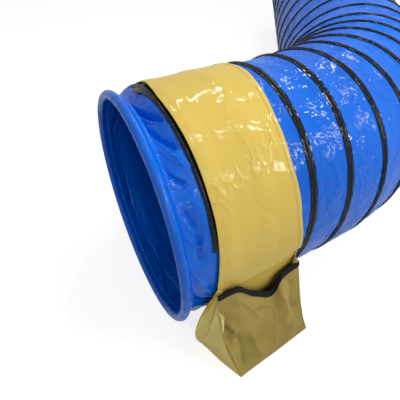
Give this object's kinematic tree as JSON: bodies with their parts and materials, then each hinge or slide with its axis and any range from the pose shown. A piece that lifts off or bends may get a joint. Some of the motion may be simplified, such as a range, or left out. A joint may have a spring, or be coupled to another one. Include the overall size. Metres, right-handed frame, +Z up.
{
  "type": "dog agility tunnel",
  "caption": "Bent fabric agility tunnel on a wound spring wire with padded end hoops, and a loose saddle with an open ballast pouch on each side.",
  "frame": {"origin": "centre of the whole object's box at floor level", "axes": "+X from the saddle end towards the far end along the front run, +Z up, -Y the side the picture shows"},
  "size_m": [2.5648, 2.3424, 0.6138],
  "materials": {
    "blue_pvc": "glossy PVC-coated fabric, crinkled",
    "black_pvc": "glossy black PVC strip",
    "yellow_pvc": "glossy PVC-coated fabric, creased",
    "black_tape": "woven binding tape",
    "spring_steel": "drawn wire",
    "hoop_plastic": "extruded tube"
  },
  "bodies": {
    "tunnel": {"front_hoop": "hoop_plastic", "front_hem": "blue_pvc", "front_cuff": "blue_pvc", "skin_panel_1": "blue_pvc", "skin_panel_2": "blue_pvc", "skin_panel_3": "blue_pvc", "skin_panel_4": "blue_pvc", "skin_panel_5": "blue_pvc", "skin_panel_6": "blue_pvc", "skin_panel_7": "blue_pvc", "spring_wire": "spring_steel", "wear_strip": "black_pvc"},
    "rear_end": {"rear_hoop": "hoop_plastic", "rear_hem": "blue_pvc", "rear_cuff": "blue_pvc"},
    "saddle": {"saddle_strap": "yellow_pvc"},
    "near_pouch": {"near_pouch": "yellow_pvc", "near_mouth_binding": "black_tape"},
    "far_pouch": {"far_pouch": "yellow_pvc", "far_mouth_binding": "black_tape"}
  },
  "joints": [
    {"name": "rear_concertina", "type": "slide", "parent": "tunnel", "child": "rear_end", "axis": [-0.6157, -0.788, 0], "range_m": [0, 0.75], "deforming": ["spring_wire", "wear_strip", "skin_panel_5", "skin_panel_6", "skin_panel_7"]},
    {"name": "saddle_slide", "type": "slide", "parent": "tunnel", "child": "saddle", "axis": [1, 0, 0], "range_m": [-0.035, 0.12]},
    {"name": "near_pouch_swing", "type": "hinge", "parent": "saddle", "child": "near_pouch", "pos_m": [-1.06876, -1.07362, 0.285], "axis": [-1, 0, 0], "range_deg": [0, 90]},
    {"name": "far_pouch_swing", "type": "hinge", "parent": "saddle", "child": "far_pouch", "pos_m": [-1.06876, -0.46481, 0.285], "axis": [1, 0, 0], "range_deg": [0, 90]}
  ]
}
